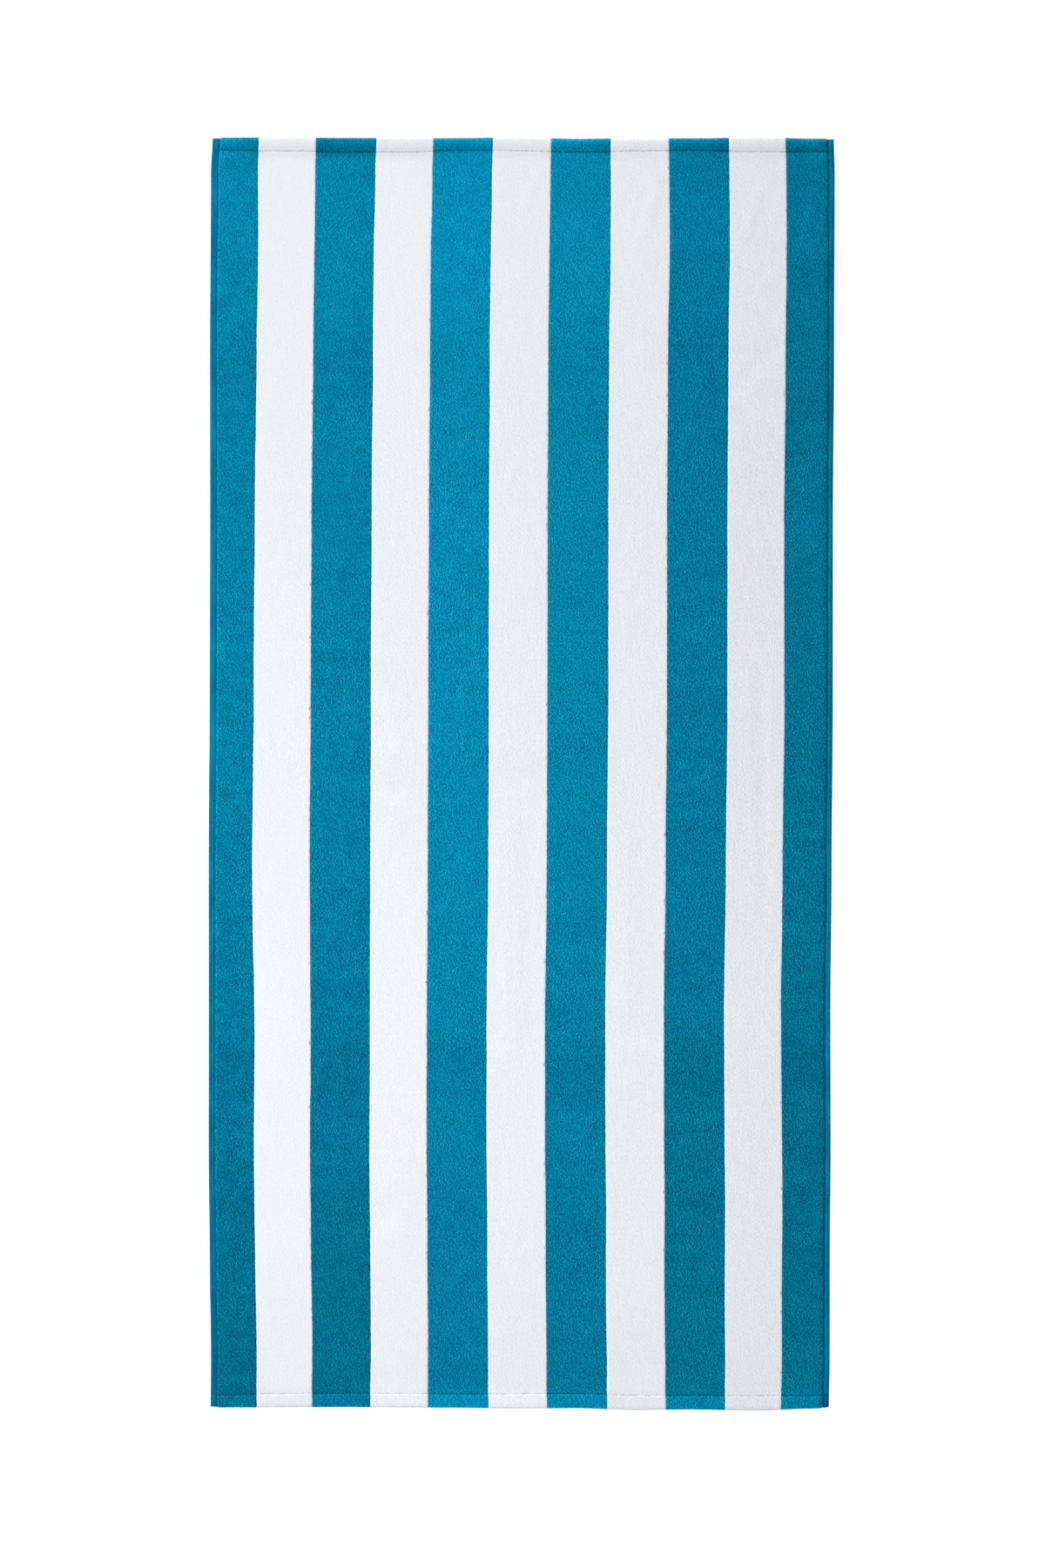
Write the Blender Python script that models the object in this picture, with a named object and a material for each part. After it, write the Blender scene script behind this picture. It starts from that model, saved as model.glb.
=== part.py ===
"""A striped beach towel lying flat and face up.

It is one length of terry cloth with a turned hem at each end and a flat-woven band along each
side. Units are metres and +Z is up. The length runs along Y, the width along X, and the whole
underside rests on Z = 0.
"""

from typing import NamedTuple

import bmesh
import bpy

NAME = "towel_cloth"
COLLECTION = "beach_towel"

# Driving dimensions
TERRY_THICKNESS = 0.0034  # ground weave with its pile on both faces
HEM_DEPTH = 0.0158  # from an end to the line of stitches
LEFT_BAND = 0.0080  # flat-woven band, from the edge to the middle of its groove
RIGHT_BAND = 0.0073
UNDERCUT = 0.0007  # how far the rounded rim draws in where it meets the ground
PARTS_PER_STRIPE = 3  # columns of faces in one stripe
BODY_ROWS = 33  # rows of faces between the hems

BLUE_TERRY = (0.004, 0.205, 0.362)
WHITE_TERRY = (0.82, 0.85, 0.90)
TERRY_ROUGHNESS = 0.95


class Side(NamedTuple):
    """Where the two side edges lie at one place along the towel."""

    along: float
    left: float
    right: float


class End(NamedTuple):
    """Where the two ends lie at one place across the towel, given as a share of its width."""

    across: float
    foot: float
    head: float


class Section(NamedTuple):
    """The cloth's thickness at one distance in from an edge."""

    inset: float
    thickness: float


class Fold(NamedTuple):
    """A soft ridge, or a trough if its height is negative, along a line on the cloth."""

    start_x: float
    start_y: float
    end_x: float
    end_y: float
    height: float
    reach: float


SIDES = [
    Side(along=-0.766, left=-0.3746, right=0.3708),
    Side(along=-0.706, left=-0.3743, right=0.3717),
    Side(along=-0.580, left=-0.3758, right=0.3717),
    Side(along=-0.454, left=-0.3773, right=0.3729),
    Side(along=-0.286, left=-0.3772, right=0.3726),
    Side(along=-0.118, left=-0.3773, right=0.3738),
    Side(along=0.092, left=-0.3762, right=0.3750),
    Side(along=0.302, left=-0.3755, right=0.3752),
    Side(along=0.512, left=-0.3756, right=0.3770),
    Side(along=0.722, left=-0.3746, right=0.3779),
    Side(along=0.766, left=-0.3727, right=0.3768),
]

ENDS = [
    End(across=0.000, foot=-0.7632, head=0.7640),
    End(across=0.011, foot=-0.7627, head=0.7624),
    End(across=0.018, foot=-0.7642, head=0.7655),
    End(across=0.117, foot=-0.7644, head=0.7665),
    End(across=0.211, foot=-0.7639, head=0.7653),
    End(across=0.305, foot=-0.7646, head=0.7651),
    End(across=0.400, foot=-0.7649, head=0.7651),
    End(across=0.495, foot=-0.7660, head=0.7660),
    End(across=0.590, foot=-0.7653, head=0.7640),
    End(across=0.687, foot=-0.7678, head=0.7651),
    End(across=0.782, foot=-0.7670, head=0.7649),
    End(across=0.877, foot=-0.7686, head=0.7661),
    End(across=0.982, foot=-0.7664, head=0.7643),
    End(across=0.989, foot=-0.7640, head=0.7630),
    End(across=1.000, foot=-0.7632, head=0.7628),
]

# The turned hem: a round fold, a crown, the sunk stitches and the swell behind them.
HEM_SECTIONS = [
    Section(inset=0.0000, thickness=0.0020),
    Section(inset=0.0008, thickness=0.0038),
    Section(inset=0.0025, thickness=0.0051),
    Section(inset=0.0060, thickness=0.0056),
    Section(inset=0.0105, thickness=0.0053),
    Section(inset=0.0140, thickness=0.0043),
    Section(inset=HEM_DEPTH, thickness=0.0033),
    Section(inset=0.0182, thickness=0.0041),
    Section(inset=0.0245, thickness=0.0038),
    Section(inset=0.0400, thickness=TERRY_THICKNESS),
]

# The side band: a thin flat weave, the groove beside it and the shoulder of the pile.
BAND_SECTIONS = [
    Section(inset=0.0000, thickness=0.0009),
    Section(inset=0.0006, thickness=0.0018),
    Section(inset=0.0022, thickness=0.0021),
    Section(inset=0.0066, thickness=0.0019),
    Section(inset=LEFT_BAND, thickness=0.0012),
    Section(inset=0.0092, thickness=0.0022),
    Section(inset=0.0110, thickness=0.0034),
    Section(inset=0.0160, thickness=0.0037),
    Section(inset=0.0340, thickness=TERRY_THICKNESS),
]

# Where blue turns to white and back, as shares of the width.
STRIPE_EDGES = [0.0706, 0.1633, 0.2580, 0.3518, 0.4472, 0.5426, 0.6385, 0.7348, 0.8303, 0.9233]

FOLDS = [
    Fold(start_x=0.288, start_y=0.123, end_x=0.293, end_y=-0.171, height=-0.0007, reach=0.020),
    Fold(start_x=0.127, start_y=-0.087, end_x=0.127, end_y=-0.265, height=0.0009, reach=0.024),
    Fold(start_x=-0.014, start_y=-0.066, end_x=-0.009, end_y=-0.328, height=0.0008, reach=0.026),
    Fold(start_x=-0.027, start_y=-0.470, end_x=-0.024, end_y=-0.492, height=-0.0005, reach=0.022),
    Fold(start_x=0.127, start_y=0.585, end_x=0.164, end_y=0.711, height=0.0009, reach=0.022),
    Fold(start_x=0.253, start_y=0.585, end_x=0.287, end_y=0.706, height=0.0009, reach=0.022),
    Fold(start_x=0.259, start_y=0.459, end_x=0.311, end_y=0.522, height=-0.0006, reach=0.024),
    Fold(start_x=-0.004, start_y=0.660, end_x=0.028, end_y=0.735, height=0.0007, reach=0.022),
    Fold(start_x=-0.330, start_y=0.020, end_x=0.060, end_y=0.028, height=0.0006, reach=0.040),
    Fold(start_x=-0.090, start_y=-0.315, end_x=0.210, end_y=-0.312, height=-0.0006, reach=0.034),
    Fold(start_x=-0.370, start_y=-0.540, end_x=-0.170, end_y=-0.535, height=-0.0006, reach=0.036),
    Fold(start_x=0.180, start_y=0.500, end_x=0.240, end_y=0.470, height=-0.0006, reach=0.036),
]


def ease(share):
    """Smooth rise from 0 to 1."""
    share = min(max(share, 0.0), 1.0)
    return share * share * (3.0 - 2.0 * share)


def read_table(rows, at):
    """The values of a table's other columns where its first column is `at`, eased between rows."""
    for low, high in zip(rows, rows[1:]):
        if at <= high[0]:
            break
    share = ease((at - low[0]) / (high[0] - low[0]))
    return [a + (b - a) * share for a, b in zip(low[1:], high[1:])]


def fold_height(x, y):
    """The sum of all folds at one point of the cloth."""
    total = 0.0
    for fold in FOLDS:
        run_x, run_y = fold.end_x - fold.start_x, fold.end_y - fold.start_y
        along = ((x - fold.start_x) * run_x + (y - fold.start_y) * run_y) / (run_x**2 + run_y**2)
        along = min(max(along, 0.0), 1.0)
        gap_x = x - fold.start_x - along * run_x
        gap_y = y - fold.start_y - along * run_y
        total += fold.height * ease(1.0 - (gap_x**2 + gap_y**2) ** 0.5 / fold.reach)
    return total


def lines_between(low_sections, high_sections, inner_shares):
    """Grid lines from one edge to the other, each as its share of the way, its inset from the
    low or high edge and its thickness."""
    low = [(0.0, row.inset, row.thickness) for row in low_sections]
    inner = [(share, 0.0, TERRY_THICKNESS) for share in inner_shares]
    high = [(1.0, -row.inset, row.thickness) for row in reversed(high_sections)]
    return low + inner + high


def column_lines():
    """Lines across the width: both bands, and each stripe's edges with even parts between."""
    narrowing = RIGHT_BAND / LEFT_BAND
    right_sections = [Section(row.inset * narrowing, row.thickness) for row in BAND_SECTIONS]
    shares = [STRIPE_EDGES[0]]
    for low, high in zip(STRIPE_EDGES, STRIPE_EDGES[1:]):
        step = (high - low) / PARTS_PER_STRIPE
        shares += [low + step * part for part in range(1, PARTS_PER_STRIPE)]
        shares.append(high)
    return lines_between(BAND_SECTIONS, right_sections, shares)


def row_lines():
    """Lines along the length: both hems, and even rows between them."""
    margin = HEM_SECTIONS[-1].inset / (ENDS[0].head - ENDS[0].foot)
    step = (1.0 - 2.0 * margin) / BODY_ROWS
    shares = [margin + step * row for row in range(1, BODY_ROWS)]
    return lines_between(HEM_SECTIONS, HEM_SECTIONS, shares)


def face_point(column, row):
    """A point of the upper face where a column line crosses a row line."""
    column_share, column_inset, column_thickness = column
    row_share, row_inset, row_thickness = row
    foot, head = read_table(ENDS, min(max(column_share + column_inset, 0.0), 1.0))
    y = foot + (head - foot) * row_share + row_inset
    left, right = read_table(SIDES, y)
    x = left + (right - left) * column_share + column_inset
    thickness = column_thickness * row_thickness / TERRY_THICKNESS
    cover = min(column_thickness, row_thickness) / TERRY_THICKNESS
    return x, y, thickness + fold_height(x, y) * ease(cover)


def upper_face(columns, rows):
    """The towel's upper face: a plain grid with each vertex moved to its place."""
    bm = bmesh.new()
    across, along = len(columns) - 1, len(rows) - 1
    bmesh.ops.create_grid(bm, x_segments=across, y_segments=along, size=0.5)
    for vert in bm.verts:
        column = columns[round((vert.co.x + 0.5) * across)]
        row = rows[round((vert.co.y + 0.5) * along)]
        vert.co = face_point(column, row)
    return bm


def close_underside(bm):
    """Draws the rim down to the ground and fills the flat underside."""
    rim = [edge for edge in bm.edges if edge.is_boundary]
    drawn = bmesh.ops.extrude_edge_only(bm, edges=rim)["geom"]
    for vert in (item for item in drawn if isinstance(item, bmesh.types.BMVert)):
        vert.co.x *= 1.0 - UNDERCUT / SIDES[-1].right
        vert.co.y *= 1.0 - UNDERCUT / ENDS[0].head
        vert.co.z = 0.0
    ring = [edge for edge in bm.edges if edge.is_boundary]
    bmesh.ops.contextual_create(bm, geom=ring)
    bmesh.ops.recalc_face_normals(bm, faces=bm.faces)


def centre_on_origin(bm):
    """Puts the middle of the footprint at X = 0, Y = 0."""
    xs = [vert.co.x for vert in bm.verts]
    ys = [vert.co.y for vert in bm.verts]
    middle = ((min(xs) + max(xs)) / 2, (min(ys) + max(ys)) / 2, 0.0)
    bmesh.ops.translate(bm, verts=bm.verts, vec=[-place for place in middle])


def colour_stripes(mesh):
    """Gives every other stripe the white terry, from the stripe's place across the width."""
    left, right = SIDES[len(SIDES) // 2].left, SIDES[len(SIDES) // 2].right
    for face in mesh.polygons:
        share = (face.center.x - left) / (right - left)
        crossed = sum(share > edge for edge in STRIPE_EDGES)
        face.material_index = crossed % 2


def terry(name, colour):
    """A matt terry material."""
    material = bpy.data.materials.new(name)
    material.use_nodes = True
    shader = material.node_tree.nodes["Principled BSDF"]
    shader.inputs["Base Color"].default_value = (*colour, 1.0)
    shader.inputs["Roughness"].default_value = TERRY_ROUGHNESS
    shader.inputs["Metallic"].default_value = 0.0
    return material


def build_towel(collection):
    """The whole towel as one closed solid."""
    bm = upper_face(column_lines(), row_lines())
    close_underside(bm)
    centre_on_origin(bm)
    mesh = bpy.data.meshes.new(NAME)
    bm.to_mesh(mesh)
    bm.free()
    mesh.materials.append(terry("blue_terry", BLUE_TERRY))
    mesh.materials.append(terry("white_terry", WHITE_TERRY))
    colour_stripes(mesh)
    mesh.shade_smooth()
    towel = bpy.data.objects.new(NAME, mesh)
    collection.objects.link(towel)
    return towel


def main():
    for old in list(bpy.data.objects):
        bpy.data.objects.remove(old, do_unlink=True)
    collection = bpy.data.collections.new(COLLECTION)
    bpy.context.scene.collection.children.link(collection)
    build_towel(collection)


main()
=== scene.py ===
"""The looks of a striped beach towel that lies flat and face up.

The ground cloth carries a pile of terry in eleven stripes, a flat-woven band along each side and a
turned, stitched hem at each end. Units are metres: the length runs along Y, the width along X.
"""

import math
from typing import NamedTuple

import bpy
import numpy as np
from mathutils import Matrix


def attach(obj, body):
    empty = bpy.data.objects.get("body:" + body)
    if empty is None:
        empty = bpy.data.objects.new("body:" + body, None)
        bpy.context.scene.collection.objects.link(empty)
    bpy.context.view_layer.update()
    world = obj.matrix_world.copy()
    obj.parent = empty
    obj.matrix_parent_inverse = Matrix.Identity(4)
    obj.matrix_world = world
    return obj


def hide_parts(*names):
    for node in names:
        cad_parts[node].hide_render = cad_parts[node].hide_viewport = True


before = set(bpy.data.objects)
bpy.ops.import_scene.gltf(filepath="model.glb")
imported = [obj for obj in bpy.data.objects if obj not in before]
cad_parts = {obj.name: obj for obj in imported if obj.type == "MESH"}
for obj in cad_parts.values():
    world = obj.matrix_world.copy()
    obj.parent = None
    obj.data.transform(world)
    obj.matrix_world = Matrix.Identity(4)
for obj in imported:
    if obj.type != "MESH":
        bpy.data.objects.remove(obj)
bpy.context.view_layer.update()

BODY = "root"
NODE = "towel_cloth"

# The towel's driving sizes
TERRY_THICKNESS = 0.0034  # ground weave with its pile on both faces
HEM_DEPTH = 0.0158  # from an end to the line of stitches
LEFT_BAND = 0.0086  # flat-woven band, from the edge to the middle of its groove
RIGHT_BAND = 0.0073
FLAT_WIDTH, FLAT_LENGTH = 0.750, 1.531
MIDDLE = (0.0003, -0.00105)  # the footprint's middle, in the coordinates of the tables below

MAIN_SEED, EDGE_SEED, NAP_SEED, HOLE_SEED = 11, 400, 600, 700
LATTICE_START = -1.0  # where the lattice of random values begins, clear of the towel
CURVE_PARTS = 24  # of each span of a smooth line, before it is spaced evenly

# The pile's mesh
PILE_STEP = 0.0018  # between rows and between columns
HEM_STEP = 0.0010  # between rows on the hems
SHOULDER_STEP = PILE_STEP * 0.6  # between columns beside a groove
STRIPE_WIDTH = 0.0680  # of a stripe between two others, for the number of its columns
SIDE_STRIPE_WIDTH = 0.0530
FLOOR_GAP = 0.0001  # the least height of the pile and the side bands
JITTER = 0.00040  # how far a vertex strays along the cloth
LOOSE_HEIGHT = 0.0012  # from which the pile is as uneven as it gets
SWELL_CELL = 0.007
RIPPLE_CELL = 0.060
RIPPLE_STRETCH = 1.6  # how much longer a ripple is along the towel
SEAM_DIP = 0.00025  # how far the pile sinks where two colours meet
SEAM_REACH = 0.0008
SEAM_MIDDLE = 0.4  # where the column between lies, as a share of the reach and of the dip
SEAM_SHADES = (0.5, 0.15)  # how strongly the painted light beside a seam shows on its first two columns
EDGE_WANDER, EDGE_CELL = 0.00018, 0.030  # how far the line between two stripes strays
EDGE_TUFTS, EDGE_TUFT_CELL = 0.00014, 0.0030  # and how far its tufts stand over it

# The ground cloth's mesh
END_ROWS = 32  # it keeps this many of the pile's first and last rows
ROW_STEP = 8  # and every eighth one between them
GROUND_SHARES = ((0.004, 0.03, 6), (0.03, 0.97, 44), (0.97, 0.996, 6))  # columns: from, to, count
GROUND_HEIGHT = (0.30, 0.25)  # at the sides, and the rise from there, as shares of the pile's
GROUND_COVER = 0.02  # inset from the sides to where it has risen
GROUND_FOLDS = 0.9
GROUND_RIM = 0.0003  # its least height
GROUND_NAP = 0.9
LEAN_REACH = 0.05  # inset from the sides to where its columns lean in full

# The stitches
STITCH_PITCH = 0.0032
STITCH_LENGTH = 0.0018
STITCH_LENGTHS = (0.65, 1.20)  # the shortest and the longest one, beside that
STITCH_MARGIN = 0.0022  # from the sides to the first stitch
STITCH_SLANT = 0.10
STRAY_ACROSS, STRAY_ALONG = 0.00025, 0.00030
THREAD_RADIUS = 0.00026
THREAD_TAPER = 0.93
THREAD_SPREAD = 1.15  # how much wider than high the thread is
THREAD_SAG = 0.00050  # from the middle of a stitch to its ends
THREAD_RING, THREAD_TURNS = 6, 5  # vertices around the thread, and rings along a stitch
BAND_REACH = 0.0085  # stitches nearer to the sides lie on a band
BAND_THREAD, PILE_THREAD = 0.0021, 0.0032  # their height there and over the pile
THREAD_SINK = (-0.00036, 0.00014)  # how far below and above that a stitch may lie
PULL = 0.00025  # how unevenly the stitches sink into the pile
PULL_CELL = 0.0080
HOLE_CELL = 0.0019  # from a spot where they pull the pile down to one where it stands
HOLE_DEPTH = 0.00040
HOLE_REACH = 0.0009  # from the line of stitches to where the pile lies evenly


class Side(NamedTuple):
    """Where the two side edges lie at one place along the towel."""

    along: float
    left: float
    right: float


class End(NamedTuple):
    """Where the two ends, or their stitches, lie at one share of the towel's width."""

    across: float
    foot: float
    head: float


class Lean(NamedTuple):
    """How far the stripes shift at one place along the towel, at each of the LEAN_SHARES."""

    along: float
    shifts: tuple


class Section(NamedTuple):
    """The height of the face at one distance in from an edge."""

    inset: float
    height: float


class HemLight(NamedTuple):
    """Painted light and shade on the pile at one distance in from an end, where the hem's roll and
    the stitches' groove face towards the light or away from it.
    """

    inset: float
    blue: float
    white: float


class NapSheen(NamedTuple):
    """Painted sheen: how light the pile looks at one place along the towel, from how its nap there
    catches the light.
    """

    along: float
    blue: float
    white: float
    slope: float  # painted light: how much lighter the blue looks at the right side than at the left
    blue_grain: float  # how strongly its tufts stand out
    white_grain: float


class Groove(NamedTuple):
    """How much further in the grooves lie at one place, and how much lighter the bands are."""

    along: float
    left: float
    right: float
    left_tone: float
    right_tone: float


class Fold(NamedTuple):
    """A soft ridge, or a trough if its height is negative, along a line on the cloth."""

    start: tuple
    end: tuple
    height: float
    reach: float


SIDES = [
    Side(along=-0.766, left=-0.3750, right=0.3708),
    Side(along=-0.706, left=-0.3746, right=0.3718),
    Side(along=-0.580, left=-0.3761, right=0.3719),
    Side(along=-0.454, left=-0.3774, right=0.3729),
    Side(along=-0.286, left=-0.3773, right=0.3726),
    Side(along=-0.118, left=-0.3774, right=0.3741),
    Side(along=0.092, left=-0.3762, right=0.3756),
    Side(along=0.302, left=-0.3756, right=0.3757),
    Side(along=0.512, left=-0.3757, right=0.3772),
    Side(along=0.722, left=-0.3746, right=0.3779),
    Side(along=0.766, left=-0.3727, right=0.3768),
]

ENDS = [
    End(across=0.000, foot=-0.7637, head=0.7643),
    End(across=0.004, foot=-0.7637, head=0.7650),
    End(across=0.009, foot=-0.7637, head=0.7648),
    End(across=0.012, foot=-0.7644, head=0.7646),
    End(across=0.017, foot=-0.7645, head=0.7657),
    End(across=0.117, foot=-0.7644, head=0.7660),
    End(across=0.211, foot=-0.7639, head=0.7653),
    End(across=0.305, foot=-0.7646, head=0.7651),
    End(across=0.400, foot=-0.7649, head=0.7651),
    End(across=0.495, foot=-0.7660, head=0.7660),
    End(across=0.590, foot=-0.7653, head=0.7640),
    End(across=0.687, foot=-0.7678, head=0.7651),
    End(across=0.782, foot=-0.7670, head=0.7649),
    End(across=0.877, foot=-0.7686, head=0.7661),
    End(across=0.970, foot=-0.7660, head=0.7643),
    End(across=0.985, foot=-0.7655, head=0.7643),
    End(across=0.992, foot=-0.7649, head=0.7635),
    End(across=0.997, foot=-0.7646, head=0.7640),
    End(across=1.000, foot=-0.7634, head=0.7636),
]

LEAN_SHARES = (0.07, 0.26, 0.50, 0.74, 0.93)  # of the width, from the left side
LEANS = [
    Lean(along=-0.761, shifts=(0.0034, 0.0004, 0.0016, 0.0018, 0.0)),
    Lean(along=-0.738, shifts=(0.0027, 0.0, 0.0006, 0.0007, 0.0001)),
    Lean(along=-0.643, shifts=(0.0029, 0.0005, 0.0001, -0.0005, -0.0002)),
    Lean(along=-0.538, shifts=(0.0021, 0.0005, 0.0001, -0.0002, 0.0005)),
    Lean(along=-0.433, shifts=(0.0019, 0.0003, -0.0006, -0.0012, -0.0007)),
    Lean(along=-0.328, shifts=(0.0027, 0.0008, -0.0006, -0.0013, -0.0016)),
    Lean(along=-0.118, shifts=(-0.0001, 0.0010, 0.0009, -0.0003, -0.0010)),
    Lean(along=0.092, shifts=(0.0003, 0.0004, 0.0002, 0.0001, -0.0003)),
    Lean(along=0.302, shifts=(0.0010, 0.0008, 0.0002, 0.0, -0.0006)),
    Lean(along=0.512, shifts=(0.0033, 0.0023, 0.0003, 0.0, -0.0003)),
    Lean(along=0.617, shifts=(0.0046, 0.0024, 0.0011, 0.0016, 0.0005)),
    Lean(along=0.722, shifts=(0.0040, 0.0040, 0.0020, 0.0006, -0.0001)),
    Lean(along=0.764, shifts=(0.0031, 0.0044, 0.0025, 0.0005, -0.0001)),
]

# Where blue turns to white and back, as shares of the width.
STRIPE_EDGES = [0.0709, 0.1623, 0.2586, 0.3509, 0.4478, 0.5420, 0.6394, 0.7339, 0.8308, 0.9225]
# How light each stripe is, from the left, and how strongly its tufts stand out.
STRIPE_TONES = [0.91, 0.995, 0.93, 1.02, 1.15, 1.025, 1.07, 1.02, 0.92, 0.995, 0.84]
STRIPE_GRAINS = [0.98, 0.71, 0.91, 0.85, 0.87, 0.95, 1.0, 1.04, 1.02, 1.26, 1.12]

FOLDS = [
    Fold(start=(0.288, 0.123), end=(0.293, -0.171), height=-0.0003, reach=0.014),
    Fold(start=(0.127, -0.087), end=(0.127, -0.265), height=0.0004, reach=0.022),
    Fold(start=(-0.014, -0.066), end=(-0.009, -0.328), height=0.0004, reach=0.024),
    Fold(start=(-0.027, -0.470), end=(-0.024, -0.492), height=-0.0003, reach=0.014),
    Fold(start=(0.146, 0.650), end=(0.164, 0.711), height=0.0002, reach=0.014),
    Fold(start=(0.270, 0.646), end=(0.284, 0.695), height=0.0003, reach=0.012),
    Fold(start=(0.259, 0.459), end=(0.311, 0.522), height=-0.0003, reach=0.018),
    Fold(start=(0.006, 0.684), end=(0.022, 0.721), height=0.0002, reach=0.012),
    Fold(start=(-0.330, 0.020), end=(0.060, 0.028), height=0.0005, reach=0.040),
    Fold(start=(-0.090, -0.315), end=(0.210, -0.312), height=-0.0004, reach=0.034),
    Fold(start=(-0.370, -0.540), end=(-0.170, -0.535), height=-0.0004, reach=0.036),
    Fold(start=(0.180, 0.500), end=(0.240, 0.470), height=-0.0005, reach=0.036),
]

# The pile over a hem, from under its fold to shortly before its stitches.
HEM_SECTIONS = [
    Section(inset=0.0014, height=0.0002),
    Section(inset=0.0004, height=0.0009),
    Section(inset=0.0000, height=0.0022),
    Section(inset=0.0004, height=0.0036),
    Section(inset=0.0020, height=0.0050),
    Section(inset=0.0045, height=0.0055),
    Section(inset=0.0080, height=0.0053),
    Section(inset=0.0115, height=0.0048),
    Section(inset=0.0145, height=0.0041),
]

# And over the narrow groove that the stitches pull in, as far as the open cloth.
GROOVE_SECTIONS = [
    Section(inset=0.0152, height=0.0039),
    Section(inset=0.0155, height=0.0036),
    Section(inset=HEM_DEPTH, height=0.0031),
    Section(inset=0.0161, height=0.0032),
    Section(inset=0.0165, height=0.0034),
    *(Section(inset, height=0.0035) for inset in (0.0175, 0.0190, 0.0210, 0.0230, 0.0250)),
    Section(inset=0.0270, height=TERRY_THICKNESS),
    Section(inset=0.0290, height=TERRY_THICKNESS),
]

# How far in from the ends the stitches run.
STITCH_LINES = [
    End(across=0.00, foot=0.0148, head=0.0152),
    End(across=0.11, foot=0.0162, head=0.0172),
    End(across=0.29, foot=0.0168, head=0.0174),
    End(across=0.42, foot=0.0166, head=0.0154),
    End(across=0.50, foot=0.0177, head=0.0170),
    End(across=0.68, foot=0.0175, head=0.0163),
    End(across=0.77, foot=0.0172, head=0.0153),
    End(across=0.88, foot=0.0177, head=0.0180),
    End(across=1.00, foot=0.0150, head=0.0157),
]

# Painted light and shade on the pile over the hems and the groove of their stitches.
HEAD_PAINTED_LIGHT = [
    HemLight(inset=0.0000, blue=1.45, white=1.04),
    HemLight(inset=0.0020, blue=1.42, white=1.04),
    HemLight(inset=0.0032, blue=1.27, white=1.04),
    HemLight(inset=0.0050, blue=1.12, white=1.04),
    HemLight(inset=0.0080, blue=0.96, white=1.03),
    HemLight(inset=0.0115, blue=0.90, white=1.01),
    HemLight(inset=0.0145, blue=0.82, white=1.01),
    HemLight(inset=0.0155, blue=0.80, white=1.0),
    HemLight(inset=0.0161, blue=0.85, white=1.0),
    HemLight(inset=0.0170, blue=0.93, white=0.96),
    HemLight(inset=0.0190, blue=1.02, white=0.965),
    HemLight(inset=0.0240, blue=1.06, white=0.98),
    HemLight(inset=0.0290, blue=1.0, white=1.0),
]

FOOT_PAINTED_LIGHT = [
    HemLight(inset=0.0000, blue=1.85, white=1.22),
    HemLight(inset=0.0024, blue=1.42, white=1.13),
    HemLight(inset=0.0050, blue=1.08, white=0.98),
    HemLight(inset=0.0120, blue=1.03, white=0.935),
    HemLight(inset=0.0148, blue=1.16, white=0.935),
    HemLight(inset=0.0155, blue=0.83, white=0.95),
    HemLight(inset=0.0161, blue=0.77, white=0.98),
    HemLight(inset=0.0180, blue=0.92, white=0.99),
    HemLight(inset=0.0270, blue=1.0, white=1.0),
]

# How light each stripe's hem is beside that, from the left.
HEAD_STRIPE_TONES = [1.05, 0.94, 0.78, 0.92, 0.91, 0.96, 1.0, 0.98, 1.02, 0.97, 1.02]
FOOT_STRIPE_TONES = [1.02, 0.96, 1.06, 1.01, 1.19, 1.03, 1.20, 0.99, 1.16, 0.99, 1.20]
# How much lighter each stripe's head hem gets from its left side to its right.
HEAD_STRIPE_SLOPES = [-0.22, 0.0, 0.26, 0.0, 0.06, 0.0, -0.16, 0.0, -0.20, -0.03, 0.24]
STRIPE_TONES_END = 0.028  # inset from an end to where these tones have faded out
STRIPE_TONES_FADE = 0.010  # over this length
FAR = 1.0  # an inset beyond every table's end

# Painted sheen: the towel was folded across, and the nap on each panel catches the light a little
# differently.
NAP_SHEENS = [
    NapSheen(along=-0.764, blue=0.86, white=0.99, slope=0.24, blue_grain=0.92, white_grain=0.93),
    NapSheen(along=-0.538, blue=0.87, white=1.01, slope=0.16, blue_grain=1.0, white_grain=0.98),
    NapSheen(along=-0.433, blue=0.92, white=1.015, slope=0.02, blue_grain=1.02, white_grain=0.98),
    NapSheen(along=-0.344, blue=0.86, white=1.015, slope=0.04, blue_grain=1.02, white_grain=1.0),
    NapSheen(along=-0.307, blue=0.97, white=1.015, slope=0.02, blue_grain=1.0, white_grain=1.03),
    NapSheen(along=-0.140, blue=1.03, white=1.0, slope=0.0, blue_grain=1.0, white_grain=1.04),
    NapSheen(along=0.030, blue=1.05, white=0.985, slope=-0.06, blue_grain=1.01, white_grain=1.10),
    NapSheen(along=0.340, blue=1.06, white=0.98, slope=-0.04, blue_grain=0.95, white_grain=1.10),
    NapSheen(along=0.496, blue=1.03, white=0.99, slope=-0.09, blue_grain=0.90, white_grain=0.98),
    NapSheen(along=0.570, blue=1.13, white=0.995, slope=-0.09, blue_grain=0.84, white_grain=0.92),
    NapSheen(along=0.660, blue=1.17, white=1.005, slope=-0.11, blue_grain=0.77, white_grain=0.79),
    NapSheen(along=0.764, blue=1.12, white=1.01, slope=-0.14, blue_grain=0.76, white_grain=0.79),
]

# Soft patches in the pile and rows of its weave that are a little lighter or darker, by stripe.
STRIPE_PATCHES = [0.100, 0.005, 0.065, 0.005, 0.035, 0.005, 0.035, 0.005, 0.030, 0.005, 0.055]
STRIPE_STREAKS = [0.050, 0.002, 0.050, 0.002, 0.026, 0.002, 0.033, 0.002, 0.052, 0.002, 0.050]
PATCH_CELL = 0.0085
STREAK_CELL = 0.0090  # along the towel
STREAK_LENGTH = 0.120  # and across it

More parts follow.
